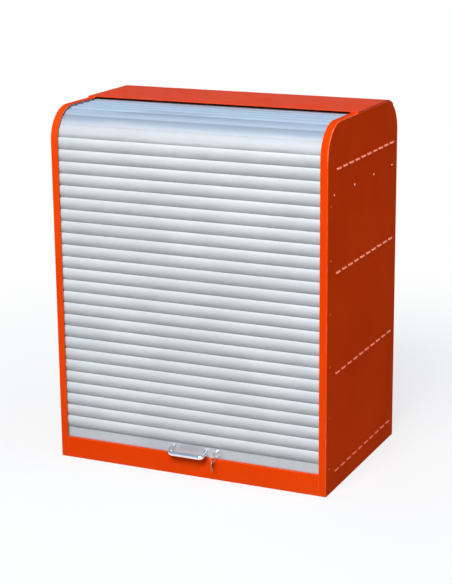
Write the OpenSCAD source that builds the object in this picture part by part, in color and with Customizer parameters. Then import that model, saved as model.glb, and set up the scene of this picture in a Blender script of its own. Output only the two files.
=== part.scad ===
// Hazardous materials cabinet with a roller shutter that runs over an arched top.
// Millimetres. X is the width, Y runs from the front to the rear, Z is up.
// The origin is the middle of the footprint, on the floor.

/* [Carcass] */
// Width over the side panels
body_w = 900; // [700:10:1200]
// Depth from the front face to the rear face
body_d = 600; // [520:10:760]
// Thickness of the carcass sheet
sheet = 1.5; // [1:0.1:2]
// Height of the plinth under the shutter
plinth_h = 66; // [56:1:100]
// Depth of the plinth's folded top
plinth_top = 45; // [40:1:60]
// Depth of the plinth's folded foot
plinth_foot = 25; // [15:1:40]
// Gap between the plinth's folds and the guide tracks
fold_gap = 1; // [0.5:0.1:3]
// Outer radius of the front arch
arch_r = 100; // [85:1:130]
// Outer radius of the rear top corner
rear_r = 105; // [85:1:130]
// Straight stretch between the last front slat and the arch
arch_lead = 25; // [4:1:36]
// Width of the band round each side panel's edge
band_w = 24; // [18:1:30]
// Width of the support under the floor
support_w = 60; // [40:1:100]

/* [Top cover] */
// Height of the cover above the bands
cover_rise = 4; // [3:0.5:10]
// Distance of the cover's front edge behind the front face
cover_front = 240; // [200:5:280]
// Angle by which the cover reaches round the rear corner
cover_wrap = 35; // [28:1:45]
// Gap between the cover's rear edge and the bands
cover_gap = 0.3; // [0.2:0.1:1]

/* [Shutter] */
// Number of slats in the straight front run
front_slat_count = 24; // [20:1:26]
// Number of slats over the arch and the top
head_slat_count = 10; // [9:1:11]
// Distance between two slat hinges
slat_pitch = 37; // [34:0.5:40]
// Height of a slat's crown above its edges
slat_crown = 4.5; // [3:0.1:6]
// Thickness of a slat's skin
slat_skin = 1.4; // [1:0.1:1.8]
// Depth of the slat hinges below the slat edges
hinge_drop = 2; // [1.6:0.1:2.6]
// Radius of the bead along a slat's lower edge
bead_r = 1.8; // [1.4:0.1:2.2]
// Wall of the hook round the next slat's bead
hook_wall = 1.2; // [0.8:0.1:1.6]
// Play between a bead and its hook
hinge_play = 0.3; // [0.2:0.05:0.5]
// Gap that is left at each edge of a crown
edge_gap = 0.6; // [0.4:0.1:1]
// Play between the slat ends and the tracks
end_play = 3.5; // [3:0.1:5]

/* [Bottom rail] */
// Height of the bottom rail
rail_h = 33; // [31:1:50]
// Depth of the bottom rail
rail_t = 10; // [9:0.1:10.4]
// Wall of the bottom rail
rail_wall = 1.6; // [1.2:0.1:2.2]
// Height of the rail's skirt above the plinth
skirt_gap = 0.5; // [0.3:0.1:1.5]
// Height of the seal under the rail
seal_h = 6; // [4:0.5:8]
// Thickness of the rail's end caps
cap_t = 2; // [1.5:0.1:2.8]

/* [Guide tracks] */
// Thickness of the track sheet
track_t = 1.5; // [1:0.1:2]
// Gap between the rear panel and the tracks
track_gap = 0.5; // [0.3:0.1:1.5]
// Reach of the track lips from the side panel
track_reach = 20; // [16:1:26]
// Play of the slats between the track lips
track_play = 1; // [0.6:0.1:1.8]
// Distance of the track web's inner edge behind the front face
web_edge = 34; // [31:1:38]
// Height of the track's lower end below the plinth's top
track_dip = 20; // [10:1:40]

/* [Shelves] */
// Height of the floor's underside
floor_z = 58; // [40:1:60]
// Distance of the ceiling panel below the start of the arch
ceiling_drop = 37; // [20:1:60]
// Distance of the shelves' front edges behind the front face
shelf_front = 66; // [58:1:90]
// Distance of the shelves' rear edges from the rear face
shelf_rear = 40; // [38:1:70]
// Height of the folded edges of the shelves
shelf_hem = 25; // [15:1:35]
// Height of the floor's raised edges
sump_edge = 30; // [20:1:60]
// Depth of the lip that is folded back under a shelf's front edge
hem_return = 10; // [6:1:16]
// Number of tabs on each side of a shelf
tab_count = 10; // [6:1:11]
// Length of a tab
tab_len = 32; // [20:1:36]
// Distance of the outer tabs' middles from the shelf's ends
tab_margin = 18; // [18:1:30]
// How far the tabs stand out of the side panels
tab_proud = 1.5; // [0.5:0.1:3]
// Play round a tab in its slot
slot_play = 0.4; // [0.2:0.1:0.8]
// Step from a shelf's top down to its coined tabs
tab_step_down = 0.2; // [0.1:0.05:0.4]

/* [Side stiffeners] */
// Height of a stiffener's leg on the side panel
stiffener_h = 30; // [20:1:40]
// Reach of a stiffener's other leg
stiffener_leg = 12; // [8:1:20]
// Distance of the stiffeners' middle below the ceiling panel
stiffener_drop = 70; // [40:1:120]
// Distance of the stiffeners' ends from the front and the rear face
stiffener_end = 44; // [42:1:60]

/* [Handle] */
// Distance between the handle's posts
handle_span = 114; // [90:1:130]
// Diameter of the handle's bar
handle_d = 14; // [9:0.5:14]
// Reach of the handle from the rail
handle_reach = 32; // [26:1:45]
// Droop of the handle below level
handle_tilt = 20; // [10:1:30]
// Radius of the handle's bends, at the middle of the bar
handle_bend = 13; // [10:0.5:16]
// Height of the handle's feet above the rail's lower edge
handle_rise = 19.5; // [17:0.5:22]
// Radius of the handle's feet
foot_r = 9; // [8.5:0.5:10]
// Thickness of the handle's feet
foot_t = 2.5; // [1.5:0.1:4]
// Shank radius of the handle screws
handle_screw_r = 2; // [1.5:0.1:2.5]
// Length of the handle screws in the handle
handle_screw_grip = 6; // [4:0.5:8]

/* [Lock] */
// Distance of the lock from the middle of the rail
lock_x = 90; // [84:1:150]
// Height of the lock above the rail's lower edge
lock_rise = 17; // [16.5:0.5:19]
// Radius of the lock's bezel
bezel_r = 13; // [12:0.5:14]
// Thickness of the bezel in front of the rail
bezel_t = 5; // [3:0.5:8]
// Radius of the lock's barrel
barrel_r = 9.5; // [8.5:0.1:10]
// Radius of the plug that turns in the barrel
plug_r = 7; // [6:0.1:7.5]
// Running clearance of the plug, on the radius
plug_play = 0.05; // [0.02:0.01:0.1]
// Length of the barrel behind the rail
barrel_tail = 6; // [5:0.5:9]
// Radius across the corners of the lock nut
nut_r = 14; // [13:0.5:15]
// Thickness of the lock nut
nut_t = 4; // [3:0.5:5]
// Thickness of the hook cam
cam_t = 2.5; // [2:0.1:4]
// Inner radius of the cam's hook
cam_in = 25; // [24:0.5:27]
// Outer radius of the cam's hook
cam_out = 31; // [29:0.5:33]
// Play of the hook in the plinth's slot
cam_play = 1; // [0.5:0.1:2]
// Width across the square that carries the cam
square_w = 7; // [6:0.5:8]

/* [Keys] */
// Radius of a key's bow
bow_r = 11; // [9:0.5:12]
// Thickness of a key
key_t = 2; // [1.6:0.1:2.4]
// Height of a key's blade
blade_h = 7; // [5:0.5:8]
// Depth of the key's blade in the lock
blade_in = 18; // [12:1:20]
// Radius of the hole in a key's bow
bow_hole_r = 3; // [2.4:0.1:3.4]
// Distance of that hole from the middle of the bow
bow_hole_off = 6; // [5:0.1:6.5]
// Gap between the key's bow and the bezel
bow_gap = 6; // [3:0.5:10]
// Length of the spare key's blade
spare_len = 14; // [10:1:24]
// Radius of the key ring, at the middle of the wire
ring_r = 8; // [8:0.5:12]
// Radius of the key ring's wire
wire_r = 0.9; // [0.7:0.1:1.1]
// Play between the wire and the holes, and of the blade in the plug
key_play = 0.15; // [0.1:0.05:0.3]

/* [Fasteners] */
// Radius of a rivet's shank
rivet_r = 1.6; // [1.2:0.1:2]
// Radius of a rivet's head
rivet_head_r = 3.5; // [3:0.1:4.5]
// Height of a rivet's head
rivet_head_h = 1.2; // [0.8:0.1:1.5]
// Distance of the track rivets behind the front face
rivet_inset = 26; // [24:0.5:28]
// Number of track rivets on each side
track_rivet_count = 6; // [4:1:8]
// Number of rivets in each stiffener
stiffener_rivet_count = 4; // [3:1:6]
// Distance of a stiffener's outer rivets from its ends
stiffener_rivet_margin = 6; // [6:0.5:14]
// Shank radius of the rear screws
screw_r = 2; // [1.5:0.1:2.5]
// Head radius of the rear screws
screw_head_r = 4; // [3.5:0.1:5]
// Head height of the rear screws
screw_head_h = 2.2; // [1.5:0.1:2.5]
// Number of rear screws on each side
rear_screw_count = 6; // [4:1:9]
// Clearance of shanks in their holes, on the radius
shank_play = 0.05; // [0.03:0.01:0.15]

/* [Hidden] */
$fn = 64;
cut = 1;
orange = [0.89, 0.26, 0.02];
zinc = [0.78, 0.79, 0.80];
silver = [0.80, 0.82, 0.84];

half_w = body_w / 2;
front_y = -body_d / 2;
inner_w = half_w - sheet;

// Heights, from the floor up
rail_z = plinth_h + skirt_gap;
slat_z = plinth_h + rail_h;
arch_z = slat_z + front_slat_count * slat_pitch + arch_lead;
side_h = arch_z + arch_r;
rear_z = side_h - rear_r;
cover_top = side_h + cover_rise;

// Top cover: its underside bends down along a circle until it lies along the bands' rear corner
cover_seat_r = rear_r + cover_gap;
cover_end = body_d - rear_r + cover_seat_r * sin(cover_wrap);
bend_fall = cover_top - sheet - rear_z - cover_seat_r * cos(cover_wrap);
cover_bend_r = bend_fall / (1 - cos(cover_wrap));
cover_bend = cover_end - cover_bend_r * sin(cover_wrap);

// Depths behind the front face, at the shutter
lip_inset = 2 * sheet + track_gap;
channel_out = lip_inset + track_t;
curtain_recess = channel_out + track_play;
edge_inset = curtain_recess + slat_crown;
hinge_inset = edge_inset + hinge_drop;
hook_in = bead_r + hinge_play;
hook_out = hook_in + hook_wall;
channel_in = hinge_inset + hook_out + track_play;
crown_r = (pow(slat_pitch / 2, 2) + pow(slat_crown, 2)) / (2 * slat_crown);
hinge_r = arch_r - hinge_inset;
slat_half = inner_w - track_t - end_play;
mouth_from = -30;
mouth_to = 120;

// Shelves
shelf_back = body_d - shelf_rear;
ceiling_z = arch_z - ceiling_drop;
shelf_step = (ceiling_z - floor_z) / 3;
lower_z = floor_z + shelf_step;
upper_z = lower_z + shelf_step;
shelf_levels = [floor_z, lower_z, upper_z, ceiling_z];
tab_first = shelf_front + tab_margin;
tab_step = (shelf_back - tab_margin - tab_first) / (tab_count - 1);
stiffener_z = ceiling_z - stiffener_drop;
stiffener_rivet_first = stiffener_end + stiffener_rivet_margin;
stiffener_rivet_step = (body_d - 2 * stiffener_rivet_first) / (stiffener_rivet_count - 1);
track_rivet_low = plinth_h + rivet_head_r + track_dip / 2;
track_rivet_step = (stiffener_z - stiffener_h - track_rivet_low) / (track_rivet_count - 1);
rear_screw_x = half_w - band_w / 2;
rear_screw_low = plinth_h;
rear_screw_step = (rear_z - 2 * plinth_h) / (rear_screw_count - 1);

// Rail and handle
rail_half = slat_half - cap_t;
rail_roof = slat_z - hook_out - edge_gap;
handle_z = rail_z + handle_rise;
handle_screw_head = 2;

// Lock: the cam turns behind the nut and hooks under the plinth's top
lock_z = rail_z + lock_rise;
bezel_front = curtain_recess - bezel_t;
rail_back = curtain_recess + rail_t;
barrel_end = rail_back + barrel_tail;
cam_front = barrel_end + cam_play / 2;
cam_back = cam_front + cam_t;
cam_drop = lock_z - plinth_h;
slot_near = sqrt(pow(cam_in, 2) - pow(cam_drop + sheet, 2)) - cam_play;
slot_far = sqrt(pow(cam_out, 2) - pow(cam_drop, 2)) + cam_play;
cam_arm = 120;
cam_tip = 210;
cam_screw_r = 2;
cam_screw_head_r = 5;
cam_screw_head_h = 2.5;

// Keys: the ring hangs in the key's bow, and the spare key hangs in the ring
blade_len = bow_gap + blade_in;
bow_front = bezel_front - bow_gap - bow_r;
ring_y = bow_front - bow_hole_off;
wire_sag = bow_hole_r - wire_r - key_play;
ring_z = lock_z - wire_sag - ring_r;
spare_hole_z = ring_z - ring_r - wire_sag;

function slat_name(i) = str("slat_", i < 10 ? "0" : "", i);

// Point on the path of the hinges, at a distance along it from the rail's top
front_run = front_slat_count * slat_pitch + arch_lead;
arch_run = hinge_r * PI / 2;
function arc_point(t) = [arch_r - hinge_r * cos(t), arch_z + hinge_r * sin(t)];
function path_point(s) =
    s <= front_run ? [hinge_inset, slat_z + s]
    : s <= front_run + arch_run ? arc_point((s - front_run) / hinge_r * 180 / PI)
    : [arch_r + s - front_run - arch_run, side_h - hinge_inset];

// Distance along the path at which the next hinge lies one pitch away, by repeated correction
function next_hinge(s, step = slat_pitch, tries = 8) =
    tries == 0 ? s + step
    : next_hinge(s, step + slat_pitch - norm(path_point(s + step) - path_point(s)), tries - 1);
function head_hinge(k) = k == 0 ? front_slat_count * slat_pitch : next_hinge(head_hinge(k - 1));

// Places a drawing of the side view, in depth and height, between two distances along X
module along_x(x0, x1) {
    translate([x0, front_y, 0])
        rotate([90, 0, 90])
            linear_extrude(x1 - x0) children();
}

// Turns a shape that stands along Z into one that points from the front to the rear
module to_rear(x, depth, z) {
    translate([x, front_y + depth, z])
        rotate([-90, 0, 0]) children();
}

module mirrored_pair() {
    children();
    mirror([1, 0, 0]) children();
}

// What is cut off a top corner of the side view to make it round
module corner_waste(r) {
    difference() {
        square(r + cut);
        circle(r);
    }
}

// Side view of the carcass, drawn in from its outline by an inset
module profile(inset, below = 0) {
    difference() {
        translate([inset, -below]) square([body_d - 2 * inset, side_h - inset + below]);
        translate([arch_r, arch_z]) mirror([1, 0]) corner_waste(arch_r - inset);
        translate([body_d - rear_r, rear_z]) corner_waste(rear_r - inset);
    }
}

// Strip of the side view between two insets
module strip(outer, inner) {
    difference() {
        profile(outer);
        profile(inner, cut);
    }
}

module slot_rows() {
    for (z = shelf_levels, i = [0:tab_count - 1])
        translate([tab_first + i * tab_step - tab_len / 2 - slot_play, z - slot_play])
            square([tab_len + 2 * slot_play, sheet + 2 * slot_play]);
}

module at_track_rivets() {
    for (i = [0:track_rivet_count - 1])
        translate([rivet_inset, track_rivet_low + i * track_rivet_step]) children();
}

module at_stiffener_rivets() {
    for (i = [0:stiffener_rivet_count - 1])
        translate([stiffener_rivet_first + i * stiffener_rivet_step, stiffener_z]) children();
}

module right_panel() {
    along_x(inner_w, half_w)
        difference() {
            profile(0);
            slot_rows();
            at_track_rivets() circle(rivet_r + shank_play);
            at_stiffener_rivets() circle(rivet_r + shank_play);
        }
}

module right_side_panel() color(orange) right_panel();

module left_side_panel() color(orange) mirror([1, 0, 0]) right_panel();

module at_rear_screws() {
    for (i = [0:rear_screw_count - 1])
        translate([rear_screw_x, body_d / 2, rear_screw_low + i * rear_screw_step])
            rotate([90, 0, 0]) children();
}

module right_band() {
    difference() {
        along_x(half_w - band_w, inner_w) strip(0, sheet);
        at_rear_screws() cylinder(h = 4 * sheet, r = screw_r + shank_play, center = true);
    }
}

module right_edge_band() color(orange) right_band();

module left_edge_band() color(orange) mirror([1, 0, 0]) right_band();

module track_strip(outer, inner) {
    difference() {
        strip(outer, inner);
        square([body_d, plinth_h - track_dip]);
    }
}

module right_track() {
    along_x(inner_w - track_t, inner_w)
        difference() {
            track_strip(lip_inset, web_edge);
            at_track_rivets() circle(rivet_r + shank_play);
        }
    along_x(inner_w - track_reach, inner_w) {
        track_strip(lip_inset, channel_out);
        track_strip(channel_in, channel_in + track_t);
    }
}

module right_guide_track() color(zinc) right_track();

module left_guide_track() color(zinc) mirror([1, 0, 0]) right_track();

module right_angle() {
    along_x(inner_w - sheet, inner_w)
        difference() {
            translate([stiffener_end, stiffener_z - stiffener_h / 2])
                square([body_d - 2 * stiffener_end, stiffener_h]);
            at_stiffener_rivets() circle(rivet_r + shank_play);
        }
    along_x(inner_w - stiffener_leg, inner_w)
        translate([shelf_front, stiffener_z - stiffener_h / 2])
            square([shelf_back - shelf_front - sheet, sheet]);
}

module right_stiffener() color(orange) right_angle();

module left_stiffener() color(orange) mirror([1, 0, 0]) right_angle();

// Side view of the cover and the space under it, drawn in from the cover's top by an inset
module cover_view(inset) {
    translate([cover_front, side_h]) square([cover_bend - cover_front, cover_rise - inset]);
    intersection() {
        translate([cover_bend, cover_top - sheet - cover_bend_r]) circle(cover_bend_r + sheet - inset);
        translate([cover_bend - cut, rear_z]) square([cover_end - cover_bend + cut, cover_top - rear_z]);
    }
}

module top_cover() {
    color(orange) {
        along_x(-half_w, half_w)
            difference() {
                cover_view(0);
                cover_view(sheet);
            }
        mirrored_pair()
            along_x(inner_w, half_w)
                difference() {
                    cover_view(0);
                    profile(0);
                }
        mirrored_pair()
            along_x(half_w - band_w, half_w)
                translate([cover_front, side_h]) square([sheet, cover_rise]);
    }
}

module rear_panel() {
    tucked = body_d - rear_r - plinth_foot;
    color(orange)
        difference() {
            union() {
                along_x(-inner_w, inner_w)
                    intersection() {
                        strip(sheet, 2 * sheet);
                        translate([tucked, 0]) square([body_d, side_h]);
                    }
                along_x(-inner_w + track_reach, inner_w - track_reach)
                    translate([body_d - plinth_foot, 0]) square([plinth_foot - sheet, sheet]);
            }
            mirrored_pair()
                at_rear_screws() cylinder(h = 4 * sheet, r = screw_r + shank_play, center = true);
        }
}

module inner_back_panel() {
    color(orange)
        along_x(-inner_w, inner_w)
            translate([shelf_back, floor_z]) square([sheet, ceiling_z + sheet - floor_z]);
}

module plinth() {
    face_half = half_w - band_w;
    fold_half = min(face_half, inner_w - track_reach - fold_gap);
    color(orange)
        difference() {
            union() {
                along_x(-face_half, face_half) square([sheet, plinth_h]);
                along_x(-fold_half, fold_half) {
                    translate([0, plinth_h - sheet]) square([plinth_top, sheet]);
                    square([plinth_foot, sheet]);
                }
            }
            translate([lock_x - slot_far, front_y + cam_front - cam_play, plinth_h - sheet - cut])
                cube([slot_far - slot_near, cam_t + 2 * cam_play, sheet + 2 * cut]);
        }
}

module floor_support() {
    color(orange)
        along_x(-inner_w, inner_w)
            translate([body_d / 2 - support_w / 2, 0])
                difference() {
                    square([support_w, floor_z]);
                    translate([sheet, sheet]) square([support_w - 2 * sheet, floor_z]);
                }
}

module shelf_plate(z) {
    along_x(-inner_w, inner_w)
        translate([shelf_front, z]) square([shelf_back - shelf_front, sheet]);
    mirrored_pair()
        for (i = [0:tab_count - 1])
            translate([inner_w - sheet, front_y + tab_first + i * tab_step - tab_len / 2, z])
                cube([2 * sheet + tab_proud, tab_len, sheet - tab_step_down]);
}

module hemmed_shelf(z) {
    color(orange) {
        shelf_plate(z);
        along_x(-inner_w, inner_w) {
            translate([shelf_front, z - shelf_hem]) square([sheet, shelf_hem + sheet]);
            translate([shelf_front, z - shelf_hem]) square([hem_return, sheet]);
            translate([shelf_back - sheet, z - shelf_hem]) square([sheet, shelf_hem + sheet]);
        }
    }
}

module lower_shelf() hemmed_shelf(lower_z);

module upper_shelf() hemmed_shelf(upper_z);

module ceiling_panel() hemmed_shelf(ceiling_z);

module sump_floor() {
    color(orange) {
        shelf_plate(floor_z);
        along_x(-inner_w, inner_w) {
            translate([shelf_front, floor_z]) square([sheet, sump_edge]);
            translate([shelf_back - sheet, floor_z]) square([sheet, sump_edge]);
        }
    }
}

// Rivet through a side panel and what lies behind it, with its head outside
module rivet(grip) {
    translate([0, 0, -grip - rivet_head_h]) cylinder(h = grip + 2 * rivet_head_h, r = rivet_r);
    cylinder(h = rivet_head_h, r = rivet_head_r);
    translate([0, 0, -grip - rivet_head_h]) cylinder(h = rivet_head_h, r = 2 * rivet_r);
}

module on_right_panel() {
    translate([half_w, front_y, 0])
        rotate([90, 0, 90]) children();
}

module track_rivets() {
    color(zinc)
        mirrored_pair()
            on_right_panel()
                at_track_rivets() rivet(sheet + track_t);
}

module stiffener_rivets() {
    color(zinc)
        mirrored_pair()
            on_right_panel()
                at_stiffener_rivets() rivet(2 * sheet);
}

module rear_screws() {
    color(zinc)
        mirrored_pair()
            at_rear_screws()
                translate([0, 0, -screw_head_h]) {
                    cylinder(h = screw_head_h, r = screw_head_r);
                    cylinder(h = screw_head_h + 2 * sheet, r = screw_r);
                }
}

// Pie slice that opens the hook where the next slat leaves it
module hook_mouth() {
    reach = 2 * hook_out;
    turns = [mouth_from, (mouth_from + mouth_to) / 2, mouth_to];
    mouth = [for (a = turns) reach * [cos(a), sin(a)]];
    polygon(concat([[0, 0]], mouth));
}

module hook() {
    difference() {
        circle(hook_out);
        circle(hook_in);
        hook_mouth();
    }
}

// Section of a slat: bead at the origin, hook one pitch along, crown outwards
module slat_section() {
    circle(bead_r);
    translate([slat_pitch, 0]) hook();
    difference() {
        translate([slat_pitch / 2, hinge_drop + slat_crown - crown_r])
            difference() {
                circle(crown_r);
                circle(crown_r - slat_skin);
            }
        translate([-2 * crown_r, -2 * crown_r]) square([2 * crown_r + edge_gap, 4 * crown_r]);
        translate([slat_pitch - edge_gap, -2 * crown_r]) square([2 * crown_r, 4 * crown_r]);
        translate([0, -2 * crown_r]) square([slat_pitch, 2 * crown_r]);
        translate([slat_pitch, 0]) circle(hook_in);
    }
}

// A slat between two hinges on the path
module slat_between(s0, s1) {
    low = path_point(s0);
    along = path_point(s1) - low;
    color(silver)
        along_x(-slat_half, slat_half)
            translate(low)
                rotate(atan2(along[1], along[0])) slat_section();
}

module slat(i) {
    slat_between((i - 1) * slat_pitch, i * slat_pitch);
}

module head_slats() {
    for (k = [0:head_slat_count - 1])
        slat_between(head_hinge(k), head_hinge(k + 1));
}

module bottom_rail() {
    seat_z = plinth_h + seal_h;
    color(silver)
        difference() {
            along_x(-rail_half, rail_half) {
                translate([hinge_inset, slat_z]) rotate(90) hook();
                difference() {
                    translate([curtain_recess, rail_z]) square([rail_t, rail_roof - rail_z]);
                    translate([curtain_recess + rail_wall, rail_z - cut])
                        square([rail_t - 2 * rail_wall, seat_z - rail_z + cut]);
                    translate([curtain_recess + rail_wall, seat_z + rail_wall])
                        square([rail_t - 2 * rail_wall, rail_roof - seat_z - 2 * rail_wall]);
                }
                translate([curtain_recess, rail_z]) square([rail_wall, rail_h - skirt_gap - edge_gap]);
                translate([hinge_inset - hook_wall / 2, rail_roof - rail_wall])
                    square([hook_wall, edge_gap + rail_wall + hook_wall / 2]);
            }
            to_rear(lock_x, 0, lock_z) cylinder(h = rail_back + cut, r = barrel_r + shank_play);
            mirrored_pair()
                to_rear(handle_span / 2, 0, handle_z)
                    cylinder(h = curtain_recess + rail_wall + cut, r = handle_screw_r + shank_play);
            mirrored_pair()
                to_rear(handle_span / 2, rail_back - rail_wall - cut, handle_z)
                    cylinder(h = rail_wall + 2 * cut, r = 2 * handle_screw_r + cut);
        }
}

module rail_seal() {
    color("dimgray")
        along_x(-rail_half, rail_half)
            translate([curtain_recess + rail_wall, plinth_h])
                square([rail_t - 2 * rail_wall, seal_h]);
}

module rail_end_caps() {
    color("gray")
        mirrored_pair()
            along_x(rail_half, slat_half)
                translate([curtain_recess, rail_z]) square([rail_t, rail_roof - rail_z]);
}

module handle() {
    bar_half = handle_span / 2 - handle_bend;
    post = handle_reach / cos(handle_tilt) - handle_bend;
    overrun = handle_d;
    color(silver)
        difference() {
            translate([0, front_y + curtain_recess, handle_z]) {
                rotate([handle_tilt, 0, 0]) {
                    translate([-bar_half, -post - handle_bend, 0])
                        rotate([0, 90, 0]) cylinder(h = 2 * bar_half, d = handle_d);
                    mirrored_pair() {
                        translate([handle_span / 2, overrun, 0])
                            rotate([90, 0, 0]) cylinder(h = post + overrun, d = handle_d);
                        translate([bar_half, -post, 0])
                            rotate([0, 0, -90])
                                rotate_extrude(angle = 90)
                                    translate([handle_bend, 0]) circle(d = handle_d);
                    }
                }
                mirrored_pair()
                    translate([handle_span / 2, 0, 0])
                        rotate([90, 0, 0]) cylinder(h = foot_t, r = foot_r);
            }
            translate([-half_w, front_y + curtain_recess, 0]) cube([body_w, overrun * 2, side_h]);
            mirrored_pair()
                to_rear(handle_span / 2, curtain_recess - handle_screw_grip - cut, handle_z)
                    cylinder(h = handle_screw_grip + 2 * cut, r = handle_screw_r + shank_play);
        }
}

module handle_screws() {
    color(zinc)
        mirrored_pair() {
            to_rear(handle_span / 2, curtain_recess - handle_screw_grip, handle_z)
                cylinder(h = handle_screw_grip + rail_wall + handle_screw_head, r = handle_screw_r);
            to_rear(handle_span / 2, curtain_recess + rail_wall, handle_z)
                cylinder(h = handle_screw_head, r = 2 * handle_screw_r);
        }
}

module lock_housing() {
    color(zinc)
        difference() {
            union() {
                to_rear(lock_x, bezel_front, lock_z) cylinder(h = bezel_t, r = bezel_r);
                to_rear(lock_x, bezel_front, lock_z) cylinder(h = barrel_end - bezel_front, r = barrel_r);
            }
            to_rear(lock_x, bezel_front - cut, lock_z)
                cylinder(h = barrel_end - bezel_front + 2 * cut, r = plug_r + plug_play);
        }
}

module lock_nut() {
    color(zinc)
        difference() {
            to_rear(lock_x, rail_back, lock_z) cylinder(h = nut_t, r = nut_r, $fn = 6);
            to_rear(lock_x, rail_back - cut, lock_z)
                cylinder(h = nut_t + 2 * cut, r = barrel_r + shank_play);
        }
}

module lock_plug() {
    slit_w = key_t + 2 * key_play;
    slit_h = blade_h + 2 * key_play;
    color("gainsboro")
        difference() {
            union() {
                to_rear(lock_x, bezel_front, lock_z) cylinder(h = cam_front - bezel_front, r = plug_r);
                to_rear(lock_x, cam_front - cam_t, lock_z)
                    translate([-square_w / 2, -square_w / 2, 0]) cube([square_w, square_w, 2 * cam_t]);
            }
            translate([lock_x, front_y + bezel_front - cut, lock_z])
                translate([-slit_w / 2, 0, -slit_h / 2]) cube([slit_w, blade_in + key_play + cut, slit_h]);
            to_rear(lock_x, cam_front, lock_z) cylinder(h = cam_t + cut, r = cam_screw_r + shank_play);
        }
}

module lock_cam() {
    color(zinc)
        to_rear(lock_x, cam_front, lock_z)
            mirror([0, 1, 0])
                linear_extrude(cam_t)
                    difference() {
                        cam_section();
                        square(square_w + 2 * shank_play, center = true);
                    }
}

// The cam from the front: a hub, an arm and a hook that keeps its distance from the axis
module cam_section() {
    wedge = 2 * cam_out;
    hook_arc = [for (a = [cam_arm, (cam_arm + cam_tip) / 2, cam_tip]) wedge * [cos(a), sin(a)]];
    circle(square_w);
    rotate(cam_arm) translate([0, -square_w]) square([(cam_in + cam_out) / 2, square_w]);
    difference() {
        intersection() {
            circle(cam_out);
            polygon(concat([[0, 0]], hook_arc));
        }
        circle(cam_in);
    }
}

module cam_screw() {
    color(zinc) {
        to_rear(lock_x, cam_front, lock_z) cylinder(h = cam_t + cam_screw_head_h, r = cam_screw_r);
        to_rear(lock_x, cam_back, lock_z) cylinder(h = cam_screw_head_h, r = cam_screw_head_r);
    }
}

// A key with its bow at the origin and its blade along the second axis
module key_section(blade) {
    difference() {
        union() {
            circle(bow_r);
            translate([-blade_h / 2, 0]) square([blade_h, bow_r + blade]);
        }
        translate([0, -bow_hole_off]) circle(bow_hole_r);
    }
}

module key() {
    color("silver")
        translate([lock_x - key_t / 2, front_y + bow_front, lock_z])
            rotate([90, 0, 90])
                linear_extrude(key_t)
                    rotate(-90) key_section(blade_len);
}

module key_ring() {
    color("silver")
        translate([lock_x, front_y + ring_y, ring_z])
            rotate([90, 0, 0])
                rotate_extrude()
                    translate([ring_r, 0]) circle(wire_r);
}

module spare_key() {
    color("silver")
        translate([lock_x - key_t / 2, front_y + ring_y, spare_hole_z - bow_hole_off])
            rotate([90, 0, 90])
                linear_extrude(key_t)
                    rotate(180) key_section(spare_len);
}

left_side_panel();
right_side_panel();
left_edge_band();
right_edge_band();
left_guide_track();
right_guide_track();
left_stiffener();
right_stiffener();
top_cover();
rear_panel();
inner_back_panel();
plinth();
floor_support();
sump_floor();
lower_shelf();
upper_shelf();
ceiling_panel();
track_rivets();
stiffener_rivets();
rear_screws();
head_slats();
bottom_rail();
rail_seal();
rail_end_caps();
handle();
handle_screws();
lock_housing();
lock_nut();
lock_plug();
lock_cam();
cam_screw();
key();
key_ring();
spare_key();
for (i = [1:front_slat_count])
    slat(i);
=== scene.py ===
import math
import bmesh
import bpy
from mathutils import Matrix, Vector


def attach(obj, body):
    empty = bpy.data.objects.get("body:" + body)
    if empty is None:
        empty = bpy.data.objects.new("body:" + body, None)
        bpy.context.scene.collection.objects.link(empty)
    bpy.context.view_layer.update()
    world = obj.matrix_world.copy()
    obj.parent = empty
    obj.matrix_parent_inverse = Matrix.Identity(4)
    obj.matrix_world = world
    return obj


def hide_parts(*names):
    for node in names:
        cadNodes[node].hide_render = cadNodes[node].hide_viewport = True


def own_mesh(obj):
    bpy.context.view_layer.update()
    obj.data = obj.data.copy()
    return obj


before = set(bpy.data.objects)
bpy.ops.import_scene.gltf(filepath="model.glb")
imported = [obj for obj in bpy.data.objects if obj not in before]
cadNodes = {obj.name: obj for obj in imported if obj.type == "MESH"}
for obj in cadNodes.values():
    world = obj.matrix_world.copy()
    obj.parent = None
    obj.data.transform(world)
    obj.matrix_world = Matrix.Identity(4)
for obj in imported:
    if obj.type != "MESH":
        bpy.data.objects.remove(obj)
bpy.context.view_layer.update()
scene = bpy.context.scene
mm = 0.001
sides = (-1, 1)  # left and right

cabinet = {  # millimetres, depths are measured behind the front face
    "halfWidth": 450.0,
    "depth": 600.0,
    "archRadius": 100.0,
    "archZ": 1012.0,
    "rearRadius": 105.0,
    "sideTop": 1112.0,
    "sheet": 1.5,
}


def spot(x, depth, z):  # millimetres in the cabinet to metres in the frame
    return Vector((x * mm, (depth - cabinet["depth"] / 2) * mm, z * mm))


def spread(low, high, count):  # evenly spaced values, both ends included
    return [low + (high - low) * i / (count - 1) for i in range(count)]


def arc(x, y, radius, start, end, steps):  # points round (x, y), angles in degrees
    turns = [math.radians(angle) for angle in spread(start, end, steps + 1)]
    return [(x + radius * math.cos(turn), y + radius * math.sin(turn)) for turn in turns]


# Small helpers for meshes

def linked(name, data):
    piece = bpy.data.objects.new(name, data)
    scene.collection.objects.link(piece)
    return piece


def shadeByAngle(mesh, angle):
    mesh.shade_smooth()
    mesh.set_sharp_from_angle(angle=math.radians(angle))


def cleaned(mesh, gap, angle):  # doubles merged, faces turned outwards, shaded
    shape = bmesh.new()
    shape.from_mesh(mesh)
    bmesh.ops.remove_doubles(shape, verts=shape.verts, dist=gap)
    bmesh.ops.recalc_face_normals(shape, faces=shape.faces)
    shape.to_mesh(mesh)
    shape.free()
    shadeByAngle(mesh, angle)
    return mesh


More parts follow.
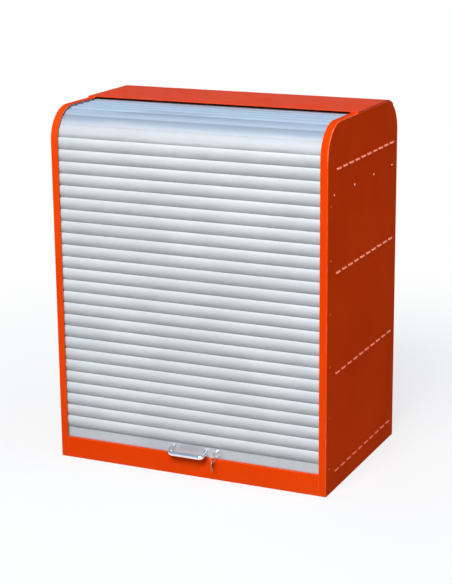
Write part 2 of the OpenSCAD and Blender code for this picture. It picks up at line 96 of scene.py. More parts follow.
def meshFrom(name, points, faces, angle=25):
    mesh = bpy.data.meshes.new(name)
    mesh.from_pydata([tuple(p) for p in points], [], faces)
    return cleaned(mesh, 1e-7, angle)


def ringFaces(rings, count, closed=False):  # walls between rings of points, a cap at each open end
    faces = []
    for ring in range(rings if closed else rings - 1):
        low, high = ring * count, (ring + 1) % rings * count
        for k in range(count):
            right = (k + 1) % count
            faces.append((low + k, low + right, high + right, high + k))
    if not closed:
        faces += [tuple(range(count)), tuple((rings - 1) * count + k for k in range(count))]
    return faces


def evaluatedMesh(piece):
    bpy.context.view_layer.update()
    graph = bpy.context.evaluated_depsgraph_get()
    return bpy.data.meshes.new_from_object(piece.evaluated_get(graph))


def markWearAndHighlight(mesh, rubbedAndLit):  # the share of wear on each face, which on painted metal shows as a painted highlight, as the edge wear group reads it
    wear = mesh.attributes.new("wear", "FLOAT", "FACE")
    wear.data.foreach_set("value", [float(rubbedAndLit(face)) for face in mesh.polygons])


def anyFace(face):  # small things are marked all over: rubbed on bare metal, a painted highlight on painted rivet heads
    return True


def slopedRim(face):  # rims and socket edges of a turned piece
    return 0.1 < abs(face.normal.z) < 0.95


def joinedMesh(name, meshes):
    shape = bmesh.new()
    for mesh in meshes:
        shape.from_mesh(mesh)
    joined = bpy.data.meshes.new(name)
    shape.to_mesh(joined)
    shape.free()
    for mesh in meshes:
        bpy.data.meshes.remove(mesh)
    return joined


def stepped(radius, height, steps):  # profile points at small steps from a corner
    return [(radius + across, height + up) for across, up in steps]


def lathe(name, profile, steps, closed=True, socket=()):  # profile of (radius, height) about Z
    points = []
    for row, (radius, height) in enumerate(profile):
        for k in range(steps):
            turn = 2 * math.pi * k / steps
            reach = radius
            if row in socket:  # six flat sides
                reach = radius / math.cos((turn + math.pi / 6) % (math.pi / 3) - math.pi / 6)
            points.append((reach * math.cos(turn) * mm, reach * math.sin(turn) * mm, height * mm))
    return meshFrom(name, points, ringFaces(len(profile), steps, closed))


def turnedAt(x, depth, z):  # sets a lathe's axis towards the front
    return Matrix.Translation(spot(x, depth, z)) @ Matrix.Rotation(math.pi / 2, 4, "X")


def sweep(name, path, radius, binormal, steps):  # round bar along a path
    points = []
    for i, here in enumerate(path):
        before, after = path[max(i - 1, 0)], path[min(i + 1, len(path) - 1)]
        side = binormal.cross((after - before).normalized())
        for k in range(steps):
            turn = 2 * math.pi * k / steps
            points.append(here + radius * (math.cos(turn) * side + math.sin(turn) * binormal))
    return meshFrom(name, points, ringFaces(len(path), steps), 40)


def finished(piece, body, slot, finish, *replaced):
    if finish:
        piece.data.materials.clear()
        piece.data.materials.append(finish)
    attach(piece, body)
    if replaced:
        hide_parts(*replaced)
    return piece


# Node trees

def send(tree, sockets, values):  # links or sets each input that is named
    for label, value in values.items():
        if isinstance(value, bpy.types.NodeSocket):
            tree.links.new(value, sockets[label])
        else:
            sockets[label].default_value = value


def put(tree, kind, inputs=None, **settings):
    made = tree.nodes.new(kind)
    for key, value in settings.items():
        setattr(made, key, value)
    send(tree, made.inputs, inputs or {})
    return made


def combined(tree, operation, a, b):
    return put(tree, "ShaderNodeMath", {0: a, 1: b}, operation=operation).outputs[0]


def times(tree, a, b):
    return combined(tree, "MULTIPLY", a, b)


def plus(tree, a, b):
    return combined(tree, "ADD", a, b)


def minus(tree, a, b):
    return combined(tree, "SUBTRACT", a, b)


def clamped(tree, value):
    return put(tree, "ShaderNodeClamp", {"Value": value}).outputs[0]


def ramp(tree, value, low, high, start=0.0, end=1.0):
    inputs = {"Value": value, "From Min": low, "From Max": high, "To Min": start, "To Max": end}
    return put(tree, "ShaderNodeMapRange", inputs, interpolation_type="SMOOTHSTEP").outputs["Result"]


def mixed(tree, factor, a, b):  # two colours
    return put(tree, "ShaderNodeMix", {0: factor, 6: a, 7: b}, data_type="RGBA").outputs[2]


def noise(tree, vector, scale, detail=3.0, rough=0.5):
    inputs = {"Vector": vector, "Scale": scale, "Detail": detail, "Roughness": rough}
    return put(tree, "ShaderNodeTexNoise", inputs).outputs["Fac"]


def streaks(tree, vector, stretch, detail, rough):  # noise with its own scale along each axis
    mapping = put(tree, "ShaderNodeMapping", {"Vector": vector, "Scale": stretch})
    return noise(tree, mapping.outputs["Vector"], 1.0, detail, rough)


def attribute(tree, name):
    return put(tree, "ShaderNodeAttribute", attribute_name=name).outputs["Fac"]


def heightOf(tree, place):
    return put(tree, "ShaderNodeSeparateXYZ", {"Vector": place}).outputs["Z"]


def nodeGroup(name, treeKind, inputs, outputs):  # sockets as (label, kind, value)
    tree = bpy.data.node_groups.new(name, treeKind)
    for way, sockets in (("INPUT", inputs), ("OUTPUT", outputs)):
        for label, kind, value in sockets:
            socket = tree.interface.new_socket(name=label, in_out=way, socket_type="NodeSocket" + kind)
            if value is not None:
                socket.default_value = value
    return tree, tree.nodes.new("NodeGroupInput").outputs, tree.nodes.new("NodeGroupOutput").inputs


# Shader groups

def shaderGroup(name, values, masks):  # takes a Vector and named values, gives named masks
    inputs = [("Vector", "Vector", None)] + [(label, "Float", value) for label, value in values.items()]
    return nodeGroup(name, "ShaderNodeTree", inputs, [(label, "Float", None) for label in masks])


def coatGroup():  # powder coat: slow drift of tone, fine orange peel, smudges
    tree, given, result = shaderGroup(
        "coatSkin", {"Peel Scale": 700.0, "Speck Scale": 1500.0, "Speck Share": 0.25, "Tone Scale": 3.5},
        ["Tone", "Peel", "Smudge"])
    place = given["Vector"]
    cells = put(tree, "ShaderNodeTexVoronoi", {"Vector": place, "Scale": given["Speck Scale"]})
    specks = times(tree, cells.outputs["Distance"], given["Speck Share"])
    smear = streaks(tree, place, (9.0, 9.0, 2.5), detail=5.0, rough=0.6)
    send(tree, result, {
        "Tone": noise(tree, place, given["Tone Scale"], detail=4.0, rough=0.55),
        "Peel": plus(tree, noise(tree, place, given["Peel Scale"], detail=2.0), specks),
        "Smudge": ramp(tree, smear, 0.42, 0.75)})
    return tree


def dustGroup():  # dust and scuffs that gather near the floor
    tree, given, result = shaderGroup("floorDust", {"Height": 0.06, "Patch Scale": 40.0}, ["Mask"])
    place = given["Vector"]
    risen = combined(tree, "DIVIDE", heightOf(tree, place), given["Height"])
    low = clamped(tree, minus(tree, 1.0, risen))
    patch = ramp(tree, noise(tree, place, given["Patch Scale"], detail=6.0, rough=0.65), 0.35, 0.7)
    send(tree, result, {"Mask": times(tree, low, patch)})
    return tree


def brushGroup():  # long fine lines along X
    tree, given, result = shaderGroup(
        "brushLines", {"Length Scale": 3.0, "Line Scale": 900.0, "Drift Scale": 6.0}, ["Lines", "Drift"])
    place, across = given["Vector"], given["Line Scale"]
    scale = put(tree, "ShaderNodeCombineXYZ", {"X": given["Length Scale"], "Y": across, "Z": across})
    send(tree, result, {
        "Lines": streaks(tree, place, scale.outputs[0], detail=4.0, rough=0.6),
        "Drift": noise(tree, place, given["Drift Scale"])})
    return tree


def scratchGroup():  # fine hairlines from handling
    tree, given, result = shaderGroup("handlingMarks", {"Scale": 120.0, "Patch Scale": 60.0}, ["Mask"])
    place = given["Vector"]
    warp = put(tree, "ShaderNodeVectorMath", {0: place, 1: (1.0, 0.35, 2.2)}, operation="MULTIPLY")
    cells = put(tree, "ShaderNodeTexVoronoi", {"Vector": warp.outputs[0], "Scale": given["Scale"]},
                feature="DISTANCE_TO_EDGE")
    thin = ramp(tree, cells.outputs["Distance"], 0.0, 0.03, 1.0, 0.0)
    patch = ramp(tree, noise(tree, place, given["Patch Scale"]), 0.5, 0.68)
    send(tree, result, {"Mask": times(tree, thin, patch)})
    return tree


def wearAndHighlightGroup():  # rubbed patches on the faces that are marked; on painted metal these are a painted highlight
    tree, given, result = shaderGroup("edgeWearAndHighlight", {"Least": 0.2, "Patch Scale": 35.0}, ["Mask"])
    patch = noise(tree, given["Vector"], given["Patch Scale"], detail=5.0, rough=0.6)
    rubbedAndLit = plus(tree, ramp(tree, patch, 0.4, 0.68), given["Least"])
    send(tree, result, {"Mask": clamped(tree, times(tree, attribute(tree, "wear"), rubbedAndLit))})
    return tree


def paintedSkyAndShadeGroup():  # painted sky reflection over the arch slats, paler towards each slat's lower edge and over the flat top; painted shade darkening each slat towards its lower edge
    tree, given, result = shaderGroup(
        "slatPaintedSkyAndShade", {"Painted Sky Low": 1.055, "Painted Sky High": 1.080, "Pale Low": 1.096, "Pale High": 1.106,
                        "Pale Share": 0.75, "Pale Joint": 0.6, "Wander": 0.03, "Shade Fade Height": 0.033,
                        "Arch Shade Height": 0.02, "Haze": 0.31},
        ["Film", "Pale", "Dirt"])
    place, paintedSkyLow = given["Vector"], given["Painted Sky Low"]
    cloud = minus(tree, streaks(tree, place, (3.0, 12.0, 12.0), detail=4.0, rough=0.55), 0.5)
    height = plus(tree, heightOf(tree, place), times(tree, cloud, given["Wander"]))
    joint = attribute(tree, "joint")
    flat = times(tree, ramp(tree, height, given["Pale Low"], given["Pale High"]), given["Pale Share"])
    pale = plus(tree, flat, times(tree, joint, given["Pale Joint"]))
    streak = streaks(tree, place, (14.0, 60.0, 60.0), detail=4.0, rough=0.6)
    dirt = times(tree, joint, ramp(tree, streak, 0.2, 0.7, 0.7, 1.0))
    start = minus(tree, paintedSkyLow, given["Shade Fade Height"])
    shadeBelowArch = times(tree, dirt, ramp(tree, height, start, paintedSkyLow, 1.0, 0.0))  # the painted shade fades out up the arch
    full = plus(tree, start, given["Arch Shade Height"])
    archShade = ramp(tree, height, start, full, 0.0, given["Haze"])  # and is held at an even painted shade over the arch
    send(tree, result, {
        "Film": ramp(tree, height, paintedSkyLow, given["Painted Sky High"]),
        "Pale": clamped(tree, pale),
        "Dirt": combined(tree, "MAXIMUM", shadeBelowArch, archShade)})
    return tree


groups = {"coat": coatGroup(), "dust": dustGroup(), "brush": brushGroup(), "scratch": scratchGroup(),
          "wear": wearAndHighlightGroup(), "paintedSkyAndShade": paintedSkyAndShadeGroup()}
print("shader groups", len(groups))


# Materials

def emptyTree(owner):
    owner.use_nodes = True
    owner.node_tree.nodes.clear()
    return owner.node_tree


def startMaterial(name):
    material = bpy.data.materials.new(name)
    tree = emptyTree(material)
    place = put(tree, "ShaderNodeTexCoord").outputs["Object"]
    shader = put(tree, "ShaderNodeBsdfPrincipled")
    put(tree, "ShaderNodeOutputMaterial", {"Surface": shader.outputs[0]})
    return material, tree, place, shader.inputs


def useGroup(tree, key, place, values):
    return put(tree, "ShaderNodeGroup", {"Vector": place, **values}, node_tree=groups[key]).outputs


def bumped(tree, height, depth, strength):  # depth in millimetres
    inputs = {"Height": height, "Distance": depth * mm, "Strength": strength}
    return put(tree, "ShaderNodeBump", inputs).outputs["Normal"]


def twoTone(tree, drift, look):
    return mixed(tree, ramp(tree, drift, 0.3, 0.7), look["deep"], look["bright"])


def worn(tree, place, colour, look):  # another colour where edges are rubbed; on painted metal this is a painted highlight
    mask = useGroup(tree, "wear", place, {"Least": look["wearAndHighlightLeast"]})["Mask"]
    return mixed(tree, mask, colour, look.get("worn", look["bright"]))


def paintedMetal(name, look):
    material, tree, place, shader = startMaterial(name)
    coat = useGroup(tree, "coat", place, {"Peel Scale": look["peelScale"]})
    dust = useGroup(tree, "dust", place, {"Height": look["dustHeight"]})
    dusty = times(tree, dust["Mask"], look["dustAmount"])
    colour = mixed(tree, dusty, twoTone(tree, coat["Tone"], look), look["dust"])
    rough = ramp(tree, coat["Smudge"], 0.0, 1.0, look["rough"], look["rough"] + look["smudgeRough"])
    send(tree, shader, {
        "Base Color": worn(tree, place, colour, look),
        "Roughness": plus(tree, rough, times(tree, dusty, look["dustRough"])),
        "Specular IOR Level": look["specular"],
        "Normal": bumped(tree, coat["Peel"], look["peelDepth"], look["peel"])})
    return material


brushed = {  # what brushed metals share unless their own look says otherwise
    "wearAndHighlightLeast": 0.2, "lineRough": (-0.05, 0.07), "markRough": 0.15, "lineDepth": 0.03, "specular": 0.5,
    "coat": 0.0, "coatRough": 0.22}


def brushedMetal(name, own):
    look = {**brushed, **own}
    material, tree, place, shader = startMaterial(name)
    brush = useGroup(tree, "brush", place, {"Length Scale": look["lengthScale"],
                                            "Line Scale": look["lineScale"]})
    marks = useGroup(tree, "scratch", place, {"Scale": look["markScale"]})
    lines = brush["Lines"]
    colour = twoTone(tree, brush["Drift"], look)
    colour = mixed(tree, times(tree, lines, look["lineTone"]), colour, look["deep"])
    colour = worn(tree, place, colour, look)
    if "low" in look:  # darker and redder towards the bottom
        left = ramp(tree, heightOf(tree, place), 0.0, look["lowTo"], 1.0, 0.0)
        colour = mixed(tree, left, colour, look["low"])
    # painted sky reflection over the arch slats and painted shade towards each slat's lower edge
    if "film" in look:
        paintedSkyAndShade = useGroup(tree, "paintedSkyAndShade", place, {})
        film = mixed(tree, paintedSkyAndShade["Pale"], look["filmDeep"], look["film"])
        colour = mixed(tree, paintedSkyAndShade["Film"], colour, film)
        colour = mixed(tree, times(tree, paintedSkyAndShade["Dirt"], look["paintedShadeAmount"]), colour, look["dirt"])
    least, most = (look["rough"] + step for step in look["lineRough"])
    rough = ramp(tree, lines, 0.25, 0.75, least, most)
    send(tree, shader, {
        "Base Color": colour,
        "Roughness": plus(tree, rough, times(tree, marks["Mask"], look["markRough"])),
        "Metallic": look["metallic"],
        "Specular IOR Level": look["specular"],
        "Coat Weight": look["coat"],
        "Coat Roughness": look["coatRough"],
        "Normal": bumped(tree, lines, look["lineDepth"], look["bump"])})
    return material


def zincSpangle(name, look):
    material, tree, place, shader = startMaterial(name)
    flakes = put(tree, "ShaderNodeTexVoronoi", {"Vector": place, "Scale": look["flakeScale"]})
    marks = useGroup(tree, "scratch", place, {"Scale": look["markScale"]})
    shade = put(tree, "ShaderNodeSeparateColor", {"Color": flakes.outputs["Color"]}).outputs["Red"]
    rough = ramp(tree, shade, 0.0, 1.0, look["rough"], look["rough"] + look["flakeRough"])
    send(tree, shader, {
        "Base Color": worn(tree, place, mixed(tree, shade, look["deep"], look["bright"]), look),
        "Roughness": plus(tree, rough, times(tree, marks["Mask"], look["markRough"])),
        "Metallic": 1.0,
        "Normal": bumped(tree, flakes.outputs["Distance"], look["flakeDepth"], look["bump"])})
    return material


moulded = {  # what rubber and plastic share
    "toneScale": 25.0, "wearAndHighlightLeast": 0.1, "grainRough": (-0.06, 0.08), "grainDepth": 0.1, "bump": 0.25}


def mouldedGrain(name, own):
    look = {**moulded, **own}
    material, tree, place, shader = startMaterial(name)
    grain = noise(tree, place, look["grainScale"], detail=4.0, rough=0.6)
    tone = noise(tree, place, look["toneScale"], detail=4.0)
    least, most = (look["rough"] + step for step in look["grainRough"])
    send(tree, shader, {
        "Base Color": worn(tree, place, twoTone(tree, tone, look), look),
        "Roughness": ramp(tree, grain, 0.2, 0.8, least, most),
        "Normal": bumped(tree, grain, look["grainDepth"], look["bump"])})
    return material


paint = {
    # the paler orange is a painted highlight along folds, broken edges and painted rivet heads
    "deep": (0.79, 0.050, 0.001, 1), "bright": (0.86, 0.058, 0.002, 1), "worn": (1.0, 0.19, 0.085, 1),
    "wearAndHighlightLeast": 0.35, "dust": (0.55, 0.10, 0.03, 1), "dustHeight": 0.05, "dustAmount": 0.25,
    "dustRough": 0.3, "peelScale": 650.0, "peel": 0.12, "peelDepth": 0.05, "rough": 0.45,
    "smudgeRough": 0.08, "specular": 0.02}
orangePaint = paintedMetal("orangePaint", paint)
sidePaint = paintedMetal("sidePaint", {**paint, "specular": 0.003})  # duller, mirrors little of the floor
tabMetal = brushedMetal("tabMetal", {
    "deep": (1.0, 0.26, 0.13, 1), "bright": (1.0, 0.34, 0.19, 1), "lengthScale": 150.0, "lineScale": 400.0,
    "lineTone": 0.2, "markScale": 250.0, "rough": 0.36, "metallic": 0.75, "bump": 0.1,
    "low": (0.82, 0.11, 0.035, 1), "lowTo": 0.8})
slatSilver = brushedMetal("slatSilver", {
    "deep": (0.63, 0.645, 0.665, 1), "bright": (0.70, 0.715, 0.735, 1), "lengthScale": 2.5,
    "lineScale": 700.0, "lineTone": 0.25, "markScale": 60.0, "rough": 0.42, "metallic": 0.06,
    "specular": 0.05, "coat": 0.8, "bump": 0.15,
    # painted sky reflection colours for the arch slats, and the painted shade colour
    "filmDeep": (0.33, 0.385, 0.465, 1), "film": (0.53, 0.645, 0.79, 1), "dirt": (0.20, 0.21, 0.23, 1),
    "paintedShadeAmount": 0.7})
railSilver = brushedMetal("railSilver", {
    "deep": (0.50, 0.52, 0.55, 1), "bright": (0.58, 0.60, 0.63, 1), "lengthScale": 4.0, "lineScale": 1100.0,
    "lineTone": 0.4, "markScale": 80.0, "rough": 0.38, "metallic": 0.7, "bump": 0.25})
handleNickel = brushedMetal("handleNickel", {
    "deep": (0.76, 0.77, 0.79, 1), "bright": (0.87, 0.88, 0.90, 1), "lengthScale": 60.0, "lineScale": 900.0,
    "lineTone": 0.25, "markScale": 150.0, "rough": 0.13, "metallic": 1.0, "bump": 0.05})
lockChrome = brushedMetal("lockChrome", {
    "deep": (0.66, 0.67, 0.69, 1), "bright": (0.76, 0.77, 0.78, 1), "lengthScale": 200.0, "lineScale": 400.0,
    "lineTone": 0.15, "markScale": 260.0, "rough": 0.17, "metallic": 1.0, "bump": 0.05})
nickel = {
    "deep": (0.50, 0.48, 0.43, 1), "bright": (0.68, 0.66, 0.61, 1), "lengthScale": 300.0, "lineScale": 900.0,
    "lineTone": 0.35, "markScale": 320.0, "rough": 0.3, "metallic": 1.0, "bump": 0.2}
keyNickel = brushedMetal("keyNickel", nickel)
darkKeyMetal = brushedMetal("darkKeyMetal", {  # the spare key, darker and browner than the lock key
    **nickel, "deep": (0.22, 0.17, 0.12, 1), "bright": (0.40, 0.33, 0.25, 1), "rough": 0.35})
rivetAlloy = brushedMetal("rivetAlloy", {
    "deep": (1.0, 0.40, 0.27, 1), "bright": (1.0, 0.52, 0.38, 1), "lengthScale": 300.0, "lineScale": 500.0,
    "lineTone": 0.2, "markScale": 300.0, "rough": 0.3, "metallic": 0.8, "bump": 0.1})
zincSteel = zincSpangle("zincSteel", {
    "deep": (0.52, 0.53, 0.55, 1), "bright": (0.68, 0.69, 0.71, 1), "worn": (0.78, 0.79, 0.80, 1),
    "wearAndHighlightLeast": 0.2, "flakeScale": 130.0, "flakeRough": 0.15, "flakeDepth": 0.04, "markScale": 90.0,
    "markRough": 0.2, "rough": 0.34, "bump": 0.15})
sealRubber = mouldedGrain("sealRubber", {
    "deep": (0.014, 0.014, 0.015, 1), "bright": (0.028, 0.028, 0.03, 1), "worn": (0.07, 0.07, 0.07, 1),
    "grainScale": 1200.0, "rough": 0.75})
capPlastic = mouldedGrain("capPlastic", {
    "deep": (0.07, 0.07, 0.075, 1), "bright": (0.10, 0.10, 0.105, 1), "worn": (0.18, 0.18, 0.185, 1),
    "grainScale": 1600.0, "rough": 0.5})
print("materials ready")


# Geometry Nodes

def geometryTree(name, inputs):
    mesh = [("Geometry", "Geometry", None)]
    return nodeGroup(name, "GeometryNodeTree", mesh + inputs, mesh)


def ended(tree, geometry, given, result):  # every tree ends as plain geometry with its finish
    real = put(tree, "GeometryNodeRealizeInstances", {"Geometry": geometry})
    made = put(tree, "GeometryNodeSetMaterial", {"Geometry": real.outputs[0], "Material": given["Finish"]})
    send(tree, result, {"Geometry": made.outputs[0]})
    return tree


def repeatTree():  # sets one unit on every point, turned as the point's "turn" says
    tree, given, result = geometryTree("repeatOnPoints", [
        ("Unit", "Object", None), ("Stretch", "Vector", (1, 1, 1)), ("Finish", "Material", None)])
    unit = put(tree, "GeometryNodeObjectInfo", {"Object": given["Unit"]})
    turn = put(tree, "GeometryNodeInputNamedAttribute", {"Name": "turn"}, data_type="FLOAT_VECTOR")
    spin = put(tree, "FunctionNodeEulerToRotation", {0: turn.outputs["Attribute"]})
    points = put(tree, "GeometryNodeMeshToPoints", {"Mesh": given["Geometry"]})
    laid = put(tree, "GeometryNodeInstanceOnPoints", {
        "Points": points.outputs[0], "Instance": unit.outputs["Geometry"], "Rotation": spin.outputs[0],
        "Scale": given["Stretch"]})
    return ended(tree, laid.outputs[0], given, result)


def slotTree():  # cuts a grid of slots through a side panel
    tree, given, result = geometryTree("cutSlotRows", [
        ("Columns", "Int", 10), ("Rows", "Int", 4), ("Span", "Float", 0.4), ("Rise", "Float", 0.9),
        ("Middle", "Vector", (0, 0, 0)), ("Slot", "Vector", (0.01, 0.03, 0.002)),
        ("Finish", "Material", None)])
    grid = put(tree, "GeometryNodeMeshGrid", {
        "Size X": given["Span"], "Size Y": given["Rise"],
        "Vertices X": given["Columns"], "Vertices Y": given["Rows"]})
    upright = put(tree, "GeometryNodeTransform", {
        "Geometry": grid.outputs["Mesh"], "Translation": given["Middle"],
        "Rotation": (math.pi / 2, 0, math.pi / 2)})
    punch = put(tree, "GeometryNodeMeshCube", {"Size": given["Slot"]})
    laid = put(tree, "GeometryNodeInstanceOnPoints", {
        "Points": upright.outputs[0], "Instance": punch.outputs["Mesh"]})
    punches = put(tree, "GeometryNodeRealizeInstances", {"Geometry": laid.outputs[0]})
    holes = put(tree, "GeometryNodeMeshBoolean", {"Mesh 1": given["Geometry"], "Mesh 2": punches.outputs[0]},
                operation="DIFFERENCE", solver="EXACT")
    return ended(tree, holes.outputs["Mesh"], given, result)


repeatNodes = repeatTree()
slotNodes = slotTree()


def grown(piece, tree, **values):  # runs the tree on the piece and keeps a plain mesh
    modifier = piece.modifiers.new("grow", "NODES")
    modifier.node_group = tree
    names = {item.name: item.identifier for item in tree.interface.items_tree if item.in_out == "INPUT"}
    for label, value in values.items():
        modifier[names[label]] = value
    plain, old = evaluatedMesh(piece), piece.data
    piece.modifiers.remove(modifier)
    piece.data = plain
    bpy.data.meshes.remove(old)
    return piece


def repeated(name, unitMesh, places, finish, angle=25, stretch=(1, 1, 1)):  # places of (point, turn)
    unit = linked(name + "Unit", unitMesh)
    seeds = bpy.data.meshes.new(name)
    seeds.from_pydata([tuple(point) for point, turn in places], [], [])
    turns = seeds.attributes.new("turn", "FLOAT_VECTOR", "POINT")
    for i, (point, turn) in enumerate(places):
        turns.data[i].vector = turn
    piece = grown(linked(name, seeds), repeatNodes, Unit=unit, Stretch=stretch, Finish=finish)
    bpy.data.objects.remove(unit)
    piece.data.attributes.remove(piece.data.attributes["turn"])
    shadeByAngle(piece.data, angle)
    return piece


# Side shells: plate, fold and band in one sheet

sideShell = {
    "bandInner": 426.0,
    "bendOuter": 3.0,
    "bendSteps": 6,
    "lipEdge": 0.4,
    "plateFrom": 8.0,
    "arcSteps": 28,
    "columns": 10,
    "rows": 4,
    "slotFirst": 84.0,
    "slotLast": 542.0,
    "slotLow": 58.0,
    "slotHigh": 975.0,
    "slotSize": (8.0, 32.8, 2.3),
    "foldSlope": (0.05, 0.98),  # sideways part of the fold's normals
    "plateSlope": 0.9999,
    # share of the fold's painted highlight on its upright parts
    "uprightHighlight": 0.3,
}


def outline(inset):  # side view from the front foot over the top to the rear foot
    front, rear, steps = cabinet["archRadius"], cabinet["rearRadius"], sideShell["arcSteps"]
    line = [(inset, 0.0)]
    line += arc(front, cabinet["archZ"], front - inset, 180, 90, steps)
    line += arc(cabinet["depth"] - rear, cabinet["sideTop"] - rear, rear - inset, 90, 0, steps)
    return line + [(cabinet["depth"] - inset, 0.0)]


def sideSection():  # pairs of inset and distance from the middle, from the plate round to the plate again
    half, sheet, bend = cabinet["halfWidth"], cabinet["sheet"], sideShell["bendOuter"]
    lip, edge, plate = sideShell["bandInner"], sideShell["lipEdge"], sideShell["plateFrom"]
    outer = arc(bend, half - bend, bend, 90, 180, sideShell["bendSteps"])
    inner = arc(bend, half - bend, bend - sheet, 90, 180, sideShell["bendSteps"])
    tip = [(0.0, lip + edge), (edge, lip), (sheet - edge, lip), (sheet, lip + edge)]
    return [(plate, half)] + outer + tip + inner[::-1] + [(plate, half - sheet)]


def foldHighlight(face):  # a painted highlight along the fold, strongest over the arch and the top
    least, most = sideShell["foldSlope"]
    if not least < abs(face.normal.x) < most:
        return 0.0
    return 1.0 if face.center.z > cabinet["archZ"] * mm else sideShell["uprightHighlight"]


def makeSide(name, sign):
    section = sideSection()
    rows = [outline(inset) for inset, x in section]
    count, last = len(rows[0]), len(section) - 1
    points = [spot(sign * x, depth, z) for (inset, x), row in zip(section, rows) for depth, z in row]
    faces = []
    for start in range(0, last * count, count):
        for corner in range(start, start + count - 1):
            faces.append((corner, corner + 1, corner + count + 1, corner + count))
    end = last * count
    faces.append(tuple(range(count)))  # outer plate
    faces.append(tuple(range(end, end + count)))  # inner plate
    faces.append((0, count - 1, end + count - 1, end))  # foot of the plate
    faces.append(tuple(range(0, end + 1, count)))  # foot of the front band
    faces.append(tuple(range(count - 1, end + count, count)))  # foot of the rear band
    piece = linked(name, meshFrom(name, points, faces))
    span = sideShell["slotLast"] - sideShell["slotFirst"]
    rise = sideShell["slotHigh"] - sideShell["slotLow"]
    middle = spot(sign * (cabinet["halfWidth"] - cabinet["sheet"] / 2), sideShell["slotFirst"] + span / 2,
                  sideShell["slotLow"] + rise / 2 + cabinet["sheet"] / 2)
    grown(piece, slotNodes, Columns=sideShell["columns"], Rows=sideShell["rows"], Span=span * mm,
          Rise=rise * mm, Middle=middle, Slot=[v * mm for v in sideShell["slotSize"]], Finish=sidePaint)
    shadeByAngle(piece.data, 25)
    for face in piece.data.polygons:
        if abs(face.normal.x) > sideShell["plateSlope"]:  # the plate itself is flat
            face.use_smooth = False
    markWearAndHighlight(piece.data, foldHighlight)
    return piece


for label, sign in zip(("left", "right"), sides):
    shell = makeSide(label + "SideShell", sign)
    finished(shell, "carcass", "orange_paint", None, label + "_side_panel", label + "_edge_band")
print("side shells", len(shell.data.polygons), "faces each")


# Sheet pieces that keep the CAD shape, with broken edges

brokenEdge = {
    "mergeGap": 0.002,
    "flatAngle": 0.3,
    "sharpAngle": 35.0,
    "segments": 2,
    "shadeAngle": 20.0,
}
sheetPieces = [  # finish, slot, body, and the edge width of each node in millimetres
    (orangePaint, "orange_paint", "carcass", {
        "top_cover": 0.7, "rear_panel": 0.4, "inner_back_panel": 0.4, "plinth": 0.5, "floor_support": 0.4,
        "sump_floor": 0.3, "lower_shelf": 0.3, "upper_shelf": 0.3, "ceiling_panel": 0.3,
        "left_stiffener": 0.3, "right_stiffener": 0.3}),
    (zincSteel, "zinc_steel", "carcass", {"left_guide_track": 0.2, "right_guide_track": 0.2}),
    (railSilver, "rail_aluminium", "shutter", {"bottom_rail": 0.35}),
    (sealRubber, "seal_rubber", "shutter", {"rail_seal": 0.6}),
    (capPlastic, "cap_plastic", "shutter", {"rail_end_caps": 0.4}),
    (zincSteel, "zinc_steel", "shutter", {"lock_nut": 0.4, "handle_screws": 0.2}),
    (lockChrome, "lock_chrome", "lock", {"lock_plug": 0.25}),
    (zincSteel, "zinc_steel", "lock", {"lock_cam": 0.3, "cam_screw": 0.3}),
]


def softEdges(node, width):  # a merged copy of a CAD node with its sharp edges broken
    first, *others = node.split("_")
    name = first + "".join(word.capitalize() for word in others)
    mesh = cadNodes[node].data.copy()
    mesh.name = name
    shape = bmesh.new()
    shape.from_mesh(mesh)
    bmesh.ops.remove_doubles(shape, verts=shape.verts, dist=brokenEdge["mergeGap"] * mm)
    bmesh.ops.dissolve_limit(shape, angle_limit=math.radians(brokenEdge["flatAngle"]), verts=shape.verts,
                             edges=shape.edges)
    # the broken edges are marked; on painted pieces the mark gives a painted highlight
    wear = shape.faces.layers.float.new("wear")
    least = math.radians(brokenEdge["sharpAngle"])
    sharp = [edge for edge in shape.edges if edge.is_manifold and edge.calc_face_angle(0.0) > least]
    rim = bmesh.ops.bevel(shape, geom=sharp, offset=width * mm, offset_type="OFFSET", profile=0.5,
                          segments=brokenEdge["segments"], affect="EDGES", clamp_overlap=True)["faces"]
    for face in shape.faces:
        face[wear] = 0.0
    for face in rim:
        face[wear] = 1.0
    shape.to_mesh(mesh)
    shape.free()
    shadeByAngle(mesh, brokenEdge["shadeAngle"])
    return linked(name, mesh)


for finish, slot, body, widths in sheetPieces:
    for node, width in widths.items():
        finished(softEdges(node, width), body, slot, finish, node)
print("sheet pieces", sum(len(row[-1]) for row in sheetPieces))


# Shelf tabs, bent up outside the side panels

tabTip = {
    "length": 31.0,
    "profile": [(-0.4, -0.8), (2.6, -0.8), (3.1, -0.4), (3.2, 0.2),
                (2.9, 4.2), (2.4, 4.9), (1.6, 5.2), (-0.4, 5.2)],
    "edge": 0.8,
    "endShare": 0.7,
    "faceSlope": 0.9,
}


def tabMesh():  # an upright lug with its ends drawn in
    line, half, edge, end = tabTip["profile"], tabTip["length"] / 2, tabTip["edge"], tabTip["endShare"]
    rings = [(-half, end), (-half + edge, 1.0), (half - edge, 1.0), (half, end)]
    points = [(x * share * mm, y * mm, z * share * mm) for y, share in rings for x, z in line]
    mesh = meshFrom("tabUnit", points, ringFaces(len(rings), len(line)))
    markWearAndHighlight(mesh, lambda face: abs(face.normal.x) < tabTip["faceSlope"])
    return mesh


tabPlaces = [(spot(sign * cabinet["halfWidth"], depth, z), (0, 0, 0 if sign > 0 else math.pi))
             for sign in sides
             for z in spread(sideShell["slotLow"], sideShell["slotHigh"], sideShell["rows"])
             for depth in spread(sideShell["slotFirst"], sideShell["slotLast"], sideShell["columns"])]
finished(repeated("shelfTabTips", tabMesh(), tabPlaces, tabMetal), "carcass", "orange_paint", None)
print("tab tips", len(tabPlaces))


# Shutter slats

